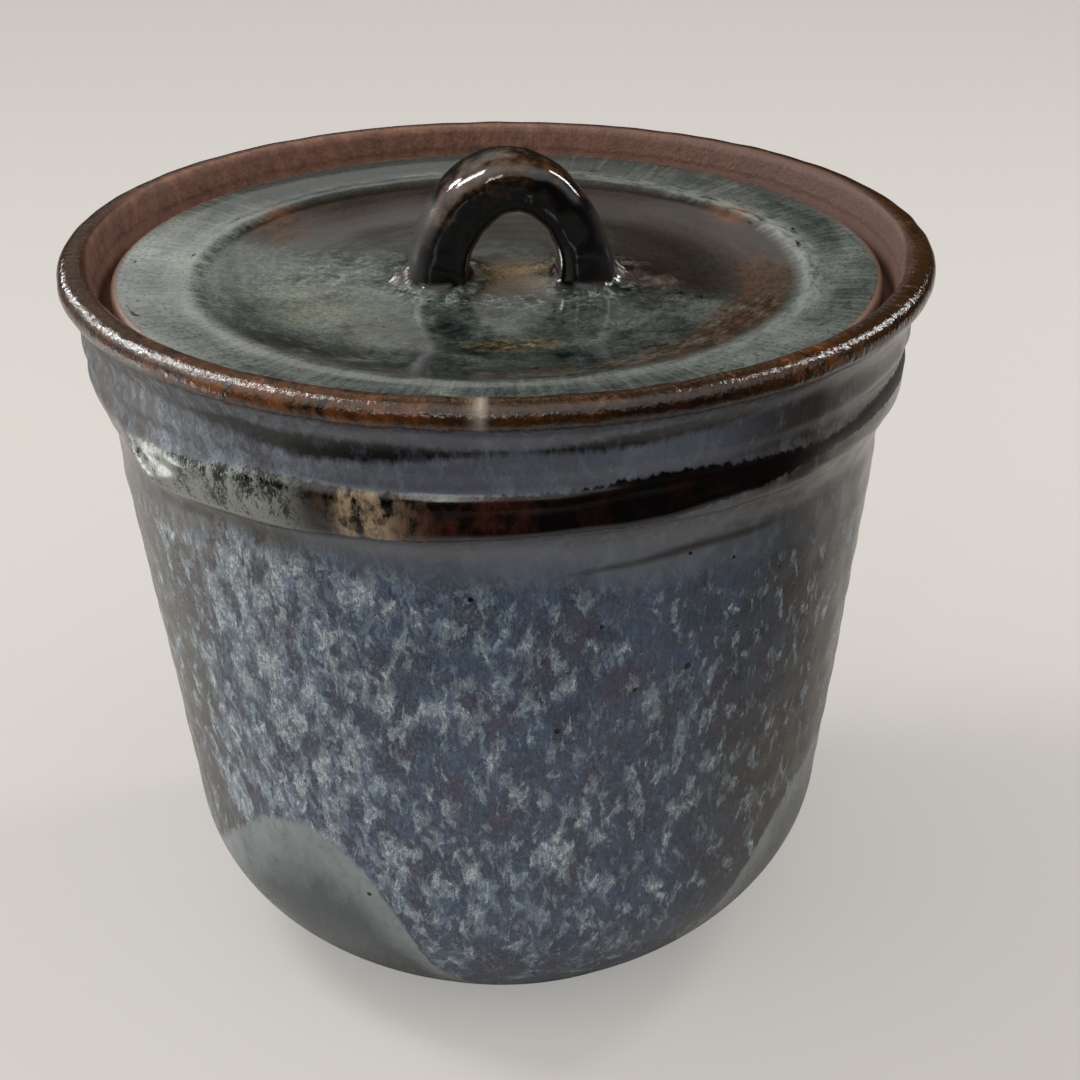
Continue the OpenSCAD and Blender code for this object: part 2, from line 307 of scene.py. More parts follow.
def makeJar(j):
    # the outline turned about the axis, each point moved along its normal by the marks of the hand
    path, side = jarOutline(j)
    normal = facing(path)
    turn, bearing = spinOf(j.columns)
    at = Named(**{name: roundPot(bearing, vars(j)[name]) for name in (
        "bandTop", "bandLow", "ribFull", "lowEdge", "patchTop", "stripeZ", "stripeHalf", "lineZ", "lineHalf",
        "clayEdge")})
    bandTop, bandLow = at.bandTop, at.bandLow
    r, z = path[:, 0:1], path[:, 1:2]
    below, outside, mouth, inside = ((side == k)[:, None] for k in range(4))
    wallPart, neckPart = (outside * zone(z, *vars(j)[name]) for name in ("wallZone", "neckZone"))
    lipPart = ~inside * ease(z, *j.lipZone) * ease(r, *j.lipZoneR)
    # neck: a soft ridge and a hollow above it, uneven round the jar
    move = outside * (j.ridge * mound(z, *j.ridgeZ) - j.hollow * mound(z, *j.hollowZ))
    move = move * (1 + j.ridgeUneven * unrest(turn, 0 * z, *j.ridgeWaves))
    # rib: an edge above and below its dark band, a shallow hollow between them, pressed flat and tilted at the left
    ribTop = j.ribEdge * mound(z, bandTop - j.ribEdgeIn, j.ribEdgeWide)
    ribDip = j.ribHollow * mound(z, (bandTop + bandLow) / 2, j.ribHollowWide)
    move = move + outside * at.ribFull * (ribTop - ribDip)
    move = move + outside * j.ribLowEdge * at.lowEdge * mound(z, bandLow + j.lowEdgeIn, j.lowEdgeWide)
    move = move - outside * (1 - at.ribFull) * j.ribPress * mound(z, *j.pressZ)
    tilt = (j.leanZ[0] - z) * mound(z, *j.leanZ) * mound(bearing, *j.leanBearing)
    move = move + outside * j.ribLean * tilt
    # folds under the rib at the right, throwing rings, lumps of clay and glaze, and a jar that is not quite round
    folds = unrest(turn + j.foldSlant * z, z, *j.foldWaves) * mound(bearing, *j.foldBearing) * mound(z, *j.foldZ)
    move = move + outside * j.folds * folds
    ringTurn = turn + j.ringWander * unrest(turn, z, *j.ringWaves)
    move = move + wallPart * j.ringDeep * np.sin(2 * np.pi * z / j.ringStep + ringTurn)
    within = inside * ease(z, *j.insideFrom)
    move = move + within * j.insideRing * np.sin(2 * np.pi * z / j.insideRingStep + turn)
    move = move + (wallPart + neckPart) * j.lumps * unrest(turn, z, *j.lumpWaves)
    move = move + (wallPart + neckPart + lipPart) * j.glazeLumps * unrest(turn, z, *j.glazeWaves)
    move = move + outside * (1 - lipPart) * j.ovalness * np.cos(2 * turn - j.ovalTurn)
    radius = r + move * normal[:, 0:1]
    height = z + move * normal[:, 1:2] + lipPart * j.lipWave * unrest(turn, 0 * z, *j.lipWaves)
    height = np.minimum(height, j.height + j.lipMost)
    lean = outside * (j.bodyShift * zone(z, *j.bodyZone) + j.neckShift * mound(z, *j.neckShiftZ))
    rings = np.stack([radius * np.cos(turn) + lean, radius * np.sin(turn), height], axis=-1)

    paint = {name: roundPot(bearing, vars(j)[name]) for name in (
        "ribPale", "ribAmber", "ribRed", "bandDry", "flecky", "warmSide", "neckLeft", "lipOrange", "lipDark",
        "clayDeep")}
    paint["warmSide"] = (paint["warmSide"]
                         + j.warmSpot * mound(bearing, *j.warmSpotBearing) * mound(z, *j.warmSpotZ))
    paint["neckLeft"] = paint["neckLeft"] * ease(z, *j.neckFrom)
    paint["lipOrange"] = paint["lipOrange"] * (1 - j.orangeLoss * ease(z, *j.orangeLossZ))
    # the next five are millimetres inside each band, patch or line, below 0 outside it
    paint["ribBand"] = np.where(outside, np.minimum(bandTop - z, z - bandLow), -20.0)
    paint["paleHip"] = np.where((below | outside) & (z < j.hipTopZ), at.patchTop - z, -40.0)
    paint["neckStripe"] = np.where(outside, at.stripeHalf - np.abs(z - at.stripeZ), -9.0)
    paint["underLine"] = np.where(outside, at.lineHalf - np.abs(z - at.lineZ), -9.0)
    paint["lipRust"] = np.where(inside, -9.0, z - j.lipLowZ)
    paint["ribUp"] = np.clip((z - bandLow) / np.maximum(bandTop - bandLow, 1), 0, 1)
    paint["lipDrip"] = mound(bearing, *j.dripBearing)
    paint["spinX"], paint["spinY"] = j.spinR * np.cos(turn), j.spinR * np.sin(turn)
    inMouth = np.maximum(ease(-z, *j.clayZ), ease(at.clayEdge - r, -j.clayBlur, j.clayBlur))
    underFoot = below & (r < j.footR - j.clayFootIn)
    paint["bareClay"] = np.where(mouth | (outside & (z > j.clayTopZ)), inMouth, 1.0 * underFoot)
    paint["insideGlaze"] = 1.0 * inside
    pits = []
    for where, up, wide in j.pinholes:  # each pinhole's place on the finished surface
        row = np.argmin(np.abs(path[:, 1] - up) + 999 * (side != 1))
        column = np.argmin(np.abs((bearing[0] - where + 180) % 360 - 180))
        pits.append((tuple((rings[row, column] * mm).tolist()), wide * mm))
    poles = [[0, 0, j.footH], [0, 0, j.footH + j.floorT]]
    return skin("jar", rings, poles, paint), pits


jarPiece, pits = makeJar(Named(**jar))

# Lid, thrown disc with a raised ring and a dished middle
lidLow, lidHigh = (np.array(corner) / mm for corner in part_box("lid_plate"))
lid = dict(
    edgeR=lidHigh[0], top=lidHigh[2], low=lidLow[2], edgeT=6.0, plugR=75.0, edge=0.8, round=1.5, plugRound=2.0,
    axisGap=0.6, axisGapTop=0.5, dishR=66.0, landR=45.0, ringFall=1.0, dishDeep=3.7, dishPull=7.0, dishFall=1.6,
    ringIn=8.0, ringFlat=(6.0, 0.1), brow=((1.2, 0.0), (0.0, 0.0), (-0.6, -0.5), (-2.2, -0.8)),  # from the dish's edge
    columns=300, topStep=0.9, underStep=1.5,
    # marks of the hand: distances from the axis in mm, bells as middle and reach, waves as size in mm and seed
    flatFrom=(6, 34), flatEnd=(3.0, 0.5), dishWave=0.7, dishWaveWide=6.0, dishWaves=(170, 11),
    ringStep=5.2, ringDeep=0.004, lumps=0.05, lumpRun=1.2, lumpWaves=(30, 12), rimBead=0.25, beadOut=2.2, beadWide=1.6,
    turnStep=6.0, turnDeep=0.15, turnZone=(4, 14, 66, 72),
    # slip round the strap's feet, and its tails: share, line from x y to x y, width
    collarH=2.4, collarReach=2.0, tailH=2.6, tailUneven=0.3, tailWaves=(4, 13),
    tails=((1.0, 25, -1.5, 37, -5.5, 2.7), (0.7, -17, -2, -22, -4.5, 2.6), (0.35, 24, 4, 32, 6, 3.0)),
    nearFeet=(2.2, 3.6), footBlack=1.6, spinMost=26.0,
    # pairs of bearing and share, and the distance from the axis where each is strongest
    leftPale=((-180, 0.12), (-145, 0.0), (-122, 0.5), (-98, 1.0), (-60, 0.75), (-15, 0.4), (20, 0.42), (45, 0.65),
              (75, 0.5), (95, 0.5), (130, 0.35), (155, 0.3)),
    # pale along the bead at the dish's edge: a painted highlight
    rimPale=((-180, 0.5), (-140, 0.2), (-110, 0.6), (-80, 0.3), (-40, 0.1), (40, 0.4), (70, 0.8), (120, 0.9),
             (150, 0.6)),
    slopeBrown=((-180, 0.9), (-150, 1), (-125, 0.95), (-110, 0.2), (-100, -0.3), (-84, -0.3), (-74, 0.35), (-50, 0.8),
                (-20, 0.6), (5, 0.45), (25, 0.7), (45, 0.95), (90, 0.95), (105, 0.5), (125, 0.6), (150, 0.75)),
    slopeWarm=((-180, 0.15), (-150, 0.2), (-134, 0.3), (-126, 0.9), (-112, 0.7), (-60, 0.0), (-10, 0.2), (30, 0.8),
               (60, 1), (92, 0.9), (106, 0.4), (128, 0.3), (150, 0.25)),
    rimR=(69, 2.6), slopeR=(58.5, 7.5), brownRight=(10, 30), brownSlant=0.35, brownFront=(-4, 12), brownBack=(16, 34),
    # oval patches: share, then middle and reach by x and y
    palePatch=(0.95, 3.5, 9, -20, 15), curds=((0.6, -34, 20, 2, 13), (0.75, 3, 24, -13, 5)), middle=(1.0, 6, 9, 1, 8),
    # the same by bearing and distance from the axis
    yellow=(1.0, -66, 30, 43, 12), redSpots=((0.8, 124, 5, 66, 3.6), (0.8, -129, 4, 66, 2.4)),
    ochreArc=(0.55, 5, 12, 40.5, 3.2))
strap = dict(
    x=3.2, midW=16.2, midH=23.2, halfT=5.8, halfW=8.0, foot=lid["top"] - lid["dishDeep"], sink=0.8, sinkPower=6,
    swell=0.22, swellReach=4.0, square=0.66, inner=0.24, innerPower=1.5, innerRight=0.25, widen=0.08,
    topFlat=0.02, leftLeg=0.08, twist=0.25, lumps=0.12, lumpRun=40, lumpWaves=(12, 21), girth=44.0,
    flankRise=(0.5, 0.75), wearTurn=38.0, wearLeast=0.25, wearLeft=0.35, rings=132, around=72)


def makeLid(p, s):
    # the disc's outline turned about the axis; rings, lumps, slip collars and smeared tails raise its upper side
    top, edgeR, plugR, dishR = p.top, p.edgeR, p.plugR, p.dishR
    bend, plugBend, pull = p.round, p.plugRound, p.dishPull
    seatZ, dishZ = top - p.edgeT, top - p.dishDeep
    dishEdge = np.array([dishR, top - p.ringFall])
    brow = dishEdge + np.array(p.brow)
    below = np.concatenate([
        [[p.axisGap, p.low]], swing([plugR - plugBend, p.low + plugBend], plugBend, -90, 0),
        [[plugR, seatZ], [edgeR - p.edge, seatZ], [edgeR, seatZ + p.edge]]])
    above = np.concatenate([
        swing([edgeR - bend, top - bend], bend, 0, 90),
        bow([edgeR - bend, top], [edgeR - p.ringIn, top], dishEdge + p.ringFlat, brow[0]), bow(*brow),
        bow(brow[3], dishEdge - [pull, p.dishFall], [p.landR + pull, dishZ], [p.landR, dishZ]),
        [[p.axisGapTop, dishZ]]])
    parts = [evenly(below, p.underStep), evenly(above, p.topStep)]
    path = np.concatenate(parts)
    upper = np.concatenate([np.full(len(part), k) for part, k in zip(parts, (0.0, 1.0))])[:, None]
    turn, bearing = spinOf(p.columns)
    r, z = path[:, 0:1], path[:, 1:2]
    flat = upper * zone(r, *p.flatFrom, *(edgeR - np.array(p.flatEnd)))
    radius = r + flat * mound(r, dishR, p.dishWaveWide) * p.dishWave * unrest(turn, 0 * r, *p.dishWaves)
    lumps = p.lumps * unrest(turn, p.lumpRun * r, *p.lumpWaves)
    lift = flat * (p.ringDeep * np.sin(2 * np.pi * r / p.ringStep + turn) + lumps)
    lift = lift + flat * p.rimBead * mound(r, dishR + p.beadOut, p.beadWide)
    turned = (1 - upper) * zone(r, *p.turnZone)  # marks of the turning tool under the lid
    lift = lift + turned * p.turnDeep * np.sin(2 * np.pi * r / p.turnStep + turn)
    x, y = radius * np.cos(turn), radius * np.sin(turn)
    a, b = s.halfT * (1 + s.swell), s.halfW * (1 + s.swell)
    ovals = [np.hypot((x - s.x - side * s.midW) / a, y / b) for side in (-1, 1)]
    reach = (np.minimum(*ovals) - 1) * 0.5 * (a + b)  # distance to the nearer leg's oval foot
    apart = np.maximum(reach, 0)
    tails = np.max([share * smear(x, y, *line) for share, *line in p.tails], axis=0)
    ragged = 1 - p.tailUneven + p.tailUneven * unrest(turn, r, *p.tailWaves)
    lift = lift + upper * (p.collarH * np.exp(-apart / p.collarReach) + p.tailH * tails * ragged)
    rings = np.stack([x, y, z + lift], axis=-1)

    at = Named(**{name: roundPot(bearing, vars(p)[name])
                  for name in ("leftPale", "rimPale", "slopeBrown", "slopeWarm")})
    spin = np.minimum(radius, p.spinMost)
    browned = ease(x, *p.brownRight) * ease(y + p.brownSlant * x, *p.brownFront)
    paint = dict(
        upper=upper, radius=radius, tails=tails, spinX=spin * np.cos(turn), spinY=spin * np.sin(turn),
        nearFeet=mound(np.maximum(reach, p.nearFeet[0]), *p.nearFeet), footBlack=np.exp(-apart / p.footBlack),
        leftPale=np.maximum(at.leftPale, blob(x, y, *p.palePatch)),
        curdy=np.maximum(*(blob(x, y, *curd) for curd in p.curds)),
        rimPale=mound(radius, *p.rimR) * at.rimPale, slopeBrown=mound(radius, *p.slopeR) * at.slopeBrown,
        slopeWarm=at.slopeWarm, rightBrown=np.maximum(browned, ease(y, *p.brownBack)),
        yellow=blob(bearing, radius, *p.yellow), middle=blob(x, y, *p.middle),
        redSpot=sum(blob(bearing, radius, *spot) for spot in p.redSpots), ochreArc=blob(bearing, radius, *p.ochreArc))
    return skin("lid", rings, [[0, 0, p.low], [0, 0, dishZ]], paint)


def makeStrap(s):
    # half ring drawn up over the lid: turn runs from the right foot to the left one, about runs round the section;
    # it is flattened on top, thicker in the left leg and twisted a little
    turn = np.linspace(0, np.pi, s.rings)[:, None]
    about = np.linspace(0, 2 * np.pi, s.around, endpoint=False)[None, :]
    rise = np.sin(turn)
    swell = 1 + s.swell * (1 - rise) ** s.swellReach
    thick = s.halfT * (1 - s.topFlat * rise ** 3 - s.leftLeg * np.cos(turn) * rise)
    rough = s.lumps * unrest(about, s.lumpRun * turn, *s.lumpWaves, girth=s.girth)
    narrow = s.inner * rise ** s.innerPower * (1 - s.innerRight * np.cos(turn))  # the arch narrows upwards
    out = thick * (1 + narrow * (np.cos(about) < 0)) * boxy(np.cos(about), s.square) + rough * np.cos(about)
    wide = s.halfW * swell * (1 + s.widen * rise)
    across = wide * boxy(np.sin(about), s.square) + rough * np.sin(about)
    lean = s.twist * np.sin(turn) * np.cos(turn)  # turns the section about the strap's own line
    out, across = out * np.cos(lean) - across * np.sin(lean), out * np.sin(lean) + across * np.cos(lean)
    x = s.x + (s.midW + out * swell) * np.cos(turn)
    z = (s.foot - s.sink * (1 - rise) ** s.sinkPower
         + (s.midH + out + s.topFlat * s.halfT * rise ** 3) * rise)
    rings = np.stack([x, across, z], axis=-1)
    upperEdge = np.clip(np.cos(about + np.radians(s.wearTurn)), 0, 1)  # 1 along the strap's upper front edge
    # thin glaze along the upper front edge and a painted reflection of the sky, both growing towards the top
    paint = dict(
        flank=(1 - ease(rise, *s.flankRise)) * np.clip(np.cos(about), 0, 1),
        wear=rise * (s.wearLeast + (1 - s.wearLeast) * upperEdge ** 2) * (1 - s.wearLeft * np.cos(turn)))
    return skin("lid_strap", rings, [rings[0].mean(axis=0), rings[-1].mean(axis=0)], paint)


lidPiece = makeLid(Named(**lid), Named(**strap))
strapPiece = makeStrap(Named(**strap))


def glaze(name, shades, piece=None):  # empty material: its node maker, colours, painted values and place on the piece
    made = bpy.data.materials.new(name)
    made.use_nodes = True
    made.node_tree.nodes.clear()
    node = partial(add, made.node_tree)
    tone = Named(**{label: linear(code) for label, code in shades.items()})
    labels = [layer.name for layer in piece.data.attributes if layer.data_type == "FLOAT"] if piece else []
    paint = Named(**{label: node("Attribute", out="Fac", attribute_name=label) for label in labels})
    return made, node, tone, paint, node("TexCoord", out="Object")


def laid(node, colour, *layers):
    # colours laid over a colour, each where a value reaches its levels, and within a mask if it has one
    for shade, value, levels, *masks in layers:
        share = node("MapRange", (value, *levels))
        for mask in masks:
            share = node("Math", (mask, share), **times)
        colour = node("Mix", (share, colour, shade), **blend)
    return colour


def fire(node, f, colour, rough, relief):  # shader of a glaze, with the relief that bends its reflections
    bump = node("Bump", {"Strength": f.bump, "Distance": f.bumpHigh, "Height": relief})
    shader = node("BsdfPrincipled", {"Base Color": colour, "Roughness": rough, "Normal": bump, "IOR": f.ior})
    node("OutputMaterial", {0: shader})


# Ash glaze that ran over iron glaze on stoneware: slate ground, tongues of pale glaze that slid down and stopped with
# bright ragged lower edges, black iron where it breaks over the rib, rust on the lip, bare red-brown clay in the mouth
# and under the foot
jarFinish = dict(
    shades=dict(
        slate="#445061", blue="#4e6079", violet="#524e63", brown="#464139", deep="#282e39", tongueBlue="#8fa3bb",
        tongueGreen="#9fb1b8", tongueCream="#c6cfd2", hip="#4a5356", hipPale="#879092",
        # the neck's mauve grey is partly a painted reflection of the pale room
        neck="#666c7a", neckWarm="#383330", neckPale="#838d98", stripe="#090707", stripeGreen="#24261f",
        line="#2e241c", iron="#050404", ironRed="#45201a", ribGrey="#8f978f", ribOchre="#a28d73", rust="#3a200e",
        rustDark="#140904", olive="#2f2614", orange="#703f1b", lipGrey="#524539", drip="#8c8274",
        clay="#704a39", clayDark="#472b1f", inside="#1f1814", insidePale="#3b3028", pit="#040303"),
    # sizes of the patterns in mm, and how far each is squeezed along the height, which draws it out downwards
    mottleWide=12.0, cloudWide=32, spotWide=4.0, stirWide=4.2, fleckWide=0.55, frayWide=1.4,
    patchWide=5.0, beadWide=1.2, combWide=1.6, midRun=0.6, frayRun=0.34, tongueRun=0.31, fleckRun=0.3, combRun=420.0,
    tongues=((5.2, 1.0), (2.6, 0.8)), stirReach=(6.5, 6.5, 9), tongueDrop=1.0, fraying=3.0,  # tongues: size, weight
    # heights in metres, from and to
    runTop=(0.134, 0.124), neckFrom=(0.126, 0.137), neckLowZ=(0.133, 0.129), edgeSwing=0.011, edgeFleck=-0.01,
    pitEdge=(0.85, 0.6), wallRough=(0.2, 0.34), neckRough=(0.18, 0.5), bandRough=(0.09, 0.55), lipRough=0.05,
    clayRough=0.75, bump=0.25, bumpHigh=0.0004, ior=1.5)


def jarGlaze(f, piece, pits):
    made, node, tone, paint, place = glaze("running_ash_glaze", f.shades, piece)
    heightZ = node("SeparateXYZ", {0: place}, out="Z")
    mid = node("Mapping", {0: place, 3: (1, 1, f.midRun)})
    cloud = node("TexNoise", (mid, per(f.mottleWide), 4.0, 0.6))
    wide = node("TexNoise", (place, per(f.cloudWide), 3.0))
    spots = node("TexNoise", (mid, per(f.spotWide), 6.0, 0.72))
    # tongues: clouds of pale glaze drawn out downwards, bright where they stop and fading upwards, in two sizes
    stir = node("TexNoise", (mid, per(f.stirWide), 5.0, 0.68), out="Color")
    stir = node("VectorMath", (stir, (0.5, 0.5, 0.5)), **minus)
    stirred = node("VectorMath", (stir, [reach * mm for reach in f.stirReach], place), **timesPlus)
    drawn = node("Mapping", {0: stirred, 3: (1, 1, f.tongueRun)})
    lower = node("Mapping", {0: stirred, 1: (0, 0, -f.tongueDrop * mm), 3: (1, 1, f.tongueRun)})
    combed = node("Mapping", {0: stirred, 3: (1, 1, f.fleckRun)})
    fine = node("TexNoise", (combed, per(f.fleckWide), 3.0, 0.7))
    crowd = node("Math", (paint.flecky, 0.24, node("Math", (wide, 0.4), **times)), **timesPlus)
    pale = None
    for size, weight in f.tongues:
        grown, under = (node("TexNoise", (where, per(size), 3.0, 0.55)) for where in (drawn, lower))
        stop = node("Math", (node("Math", (grown, under), **minus), 1.5, grown), **timesPlus)
        tongue = node("MapRange", (node("Math", (crowd, stop), **plus), 0.88, 1.08, 0, weight))
        pale = tongue if pale is None else node("Math", (pale, tongue), **larger)
    threads, clots = node("MapRange", (fine, 0.38, 0.6, 0.3, 1.0)), node("MapRange", (spots, 0.36, 0.54, 0.35))
    pale = node("Math", (pale, node("Math", (threads, clots), **times)), **times)
    fleck = node("MapRange", (node("Math", (paint.flecky, 0.3, spots), **timesPlus), 0.56, 0.8))
    fleck = node("Math", (node("MapRange", (fine, 0.55, 0.72, 0, 0.7)), fleck), **times)
    pale = node("Math", (pale, fleck), **larger)
    topEdge = node("Math", (node("Math", (paint.flecky, 0.55), **minus), f.edgeFleck, heightZ), **timesPlus)
    uneven = node("Math", (spots, 0.7, cloud), **timesPlus)
    topEdge = node("Math", (uneven, f.edgeSwing, topEdge), **timesPlus)
    running = node("MapRange", (topEdge, *f.runTop), **smooth)
    pale = node("Math", (pale, node("Math", (running, paint.neckLeft), **larger)), **times)
    hue = laid(node, tone.tongueBlue, (tone.tongueGreen, grown, (0.42, 0.6)), (tone.tongueCream, pale, (0.55, 0.95)))
    # ground: slate, blue, violet and brown clouds, darker in the fine hollows between runs
    browner = node("Math", (wide, paint.warmSide), **plus)
    ground = node("ValToRGB", {0: cloud}, ramp=(
        (0.34, tone.violet), (0.46, tone.slate), (0.56, tone.blue), (0.68, tone.violet)))
    ground = laid(node, ground, (tone.brown, browner, (0.6, 1.35)), (tone.deep, fine, (0.56, 0.36, 0, 0.8)))
    # neck: smooth mauve grey from just under the rib up to the lip, partly a painted reflection of the pale room
    neckIn = node("MapRange", (topEdge, *f.neckFrom), **smooth)
    neckRun = node("Math", (paint.neckLeft, 1.5, 0.32), use_clamp=True, **timesPlus)
    cooler = node("MapRange", (browner, 0.7, 1.3, 1.0, 0.1))
    neckGreyAndSheen = laid(
        node, tone.neck, (tone.neckWarm, browner, (0.4, 1.05)), (tone.neckPale, spots, (0.5, 0.68, 0, 0.45)),
        # paler just under the rib: a painted reflection of the floor
        (tone.neckWarm, fine, (0.5, 0.34), neckRun), (tone.neckPale, heightZ, (*f.neckLowZ, 0, 0.38), cooler))
    # pale under-glaze left bare in scallops along the hip, where the running glaze stopped
    frayed = node("Mapping", {0: place, 3: (1, 1, f.frayRun)})
    frayed = node("TexNoise", (frayed, per(f.frayWide), 4.0, 0.65))
    frayed = node("Math", (frayed, f.fraying, -f.fraying / 2), **timesPlus)
    hipIn = node("MapRange", (node("Math", (frayed, 2.4, paint.paleHip), **timesPlus), -0.8, 1.0))
    hipDeep = node("Math", (paint.paleHip, -0.03, cloud), **timesPlus)
    hipTone = laid(node, tone.hip, (tone.hipPale, hipDeep, (-0.05, 0.5)), (tone.slate, spots, (0.5, 0.7, 0, 0.45)))
    # iron breaking through: stripes in the hollow, a brown line under the rib, the band on the rib, the lip
    stripe, band, lipIn = (node("MapRange", (node("Math", (edge, frayed), **plus), low, high)) for edge, low, high in (
        (paint.neckStripe, -0.9, 0.5), (paint.ribBand, -0.3, 0.3), (paint.lipRust, -0.5, 0.5)))
    stripe = node("Math", (stripe, node("MapRange", (spots, 0.34, 0.5, 0.45, 0.96))), **times)
    atLeft = node("MapRange", (paint.neckLeft, 0.0, 0.3))
    stripeTone = laid(node, tone.stripe, (tone.stripeGreen, spots, (0.44, 0.6), atLeft))
    lined = node("MapRange", (paint.underLine, -0.8, 0.4, 0, 0.8))
    speckled = node("Math", (paint.ribUp, -0.085, node("Mix", (0.45, spots, fine))), **timesPlus)
    iron = laid(
        node, tone.iron, (tone.ironRed, spots, (0.46, 0.64), paint.ribRed),
        (tone.ribGrey, speckled, (0.4, 0.48), paint.ribPale), (tone.ribOchre, spots, (0.43, 0.58), paint.ribAmber))
    # rust lip, streaked across its roll
    around = node("CombineXYZ", (paint.spinX, paint.spinY, node("Math", (heightZ, f.combRun), **times)))
    comb = node("TexNoise", {
        "Vector": around, "Scale": 1 / f.combWide, "Detail": 4.0, "Roughness": 0.62, "Distortion": 0.4})
    patch = node("TexNoise", (place, per(f.patchWide), 5.0, 0.68))
    beads = node("TexNoise", (place, per(f.beadWide), 2.0))
    rust = node("ValToRGB", {0: node("Mix", (0.62, comb, patch))}, ramp=(
        (0.39, tone.rustDark), (0.45, tone.rust), (0.49, tone.olive), (0.53, tone.rustDark), (0.57, tone.rust),
        (0.64, tone.lipGrey)))
    rust = laid(node, rust, (tone.orange, patch, (0.4, 0.56), paint.lipOrange))
    # darker lip: dark patches at the front, painted shade at the back
    dark = node("MapRange", (patch, 0.62, 0.4, 0.3, 1.3))
    dark = node("Math", (paint.lipDark, dark), use_clamp=True, **times)
    for share, shade in ((dark, tone.rustDark), (paint.lipDrip, tone.drip)):
        rust = node("Mix", (share, rust, shade), **blend)
    # bare clay with painted shade at the mouth's right, dark inside and pinholes, which are burst bubbles in the glaze
    clay = laid(node, tone.clayDark, (tone.clay, spots, (0.35, 0.65)))
    clay = node("Mix", (paint.clayDeep, clay, tone.clayDark), **blend)
    within = laid(node, tone.inside, (tone.insidePale, cloud, (0.4, 0.62)))
    pitted = None
    for middle, reach in pits:
        away = node("VectorMath", (place, middle), out="Value", operation="DISTANCE")
        hole = node("MapRange", (away, *(edge * reach for edge in f.pitEdge)))
        pitted = hole if pitted is None else node("Math", (pitted, hole), **larger)
    colour = ground
    for share, shade in (
            (neckIn, neckGreyAndSheen), (pale, hue), (hipIn, hipTone), (stripe, stripeTone), (lined, tone.line), (band, iron),
            (lipIn, rust), (paint.bareClay, clay), (paint.insideGlaze, within), (pitted, tone.pit)):
        colour = node("Mix", (share, colour, shade), **blend)
    # gloss: satin wall, drier neck at the left and band at the right, glassy lip, dull clay
    rough = node("MapRange", (cloud, 0.3, 0.7, *f.wallRough))
    neckRough = node("MapRange", (paint.neckLeft, 0.1, 0.5, *f.neckRough))
    bandRough = node("MapRange", (paint.bandDry, 0, 1, *f.bandRough))
    for share, level in ((neckIn, neckRough), (band, bandRough), (lipIn, f.lipRough), (paint.bareClay, f.clayRough)):
        rough = node("Mix", (share, rough, level))
    relief = node("Math", (node("Math", (fine, 0.3, pale), **timesPlus), pitted), **minus)
    lipRelief = node("Math", (comb, beads), **plus)
    relief = node("Math", (node("Math", (lipIn, 3.0), **times), lipRelief, relief), **timesPlus)
    fire(node, f, colour, rough, relief)
    return made


# Lid glaze, the same ash over iron: thin and pale on the ring, run thin over the brown slope, pooled glassy and dark
# in the dish
lidFinish = dict(
    shades=dict(
        ring="#2f3533", ringPale="#7d827d", dish="#0a0f0f", dishPale="#3e4541", dishBrown="#1f1813", yellow="#5c604d",
        slope="#130f0d", slopeWarm="#3d2818", line="#0a0807", ochre="#8c7040", smear="#2c1c12", bare="#643f2b",
        bareDark="#4b2d1e", under="#785743", underDark="#543829", red="#6b4029", curd="#828b83", scum="#5d645e"),
    # sizes of the patterns in mm, along the wheel's turning, across it, and on the clay itself
    streakWide=9.0, thinWide=1.8, dashWide=2.6, combWide=1.4, combRun=(0.12, 3.0, 3.0),
    # cloud, grain, froth and blot: size, detail, roughness, distortion
    noises=((20, 5.0, 0.62, 0.5), (0.9, 3.0, 0.65, 0.0), (2.4, 4.0, 0.7, 0.2), (7.0, 6.0, 0.66, 0.8)),
    # distances from the axis in mm, those of ringFrom with a minus
    ringFrom=(-64.4, -67.0), combReach=(2.0, 9.0), combBack=(1.0, 4.5), rimFrom=(83.6, 84.2), rimComb=2.4,
    poolRough=(0.09, 0.16), tailRough=0.22, rimRough=0.6, underRough=0.8, bump=0.1, bumpHigh=0.0003, ior=1.5)


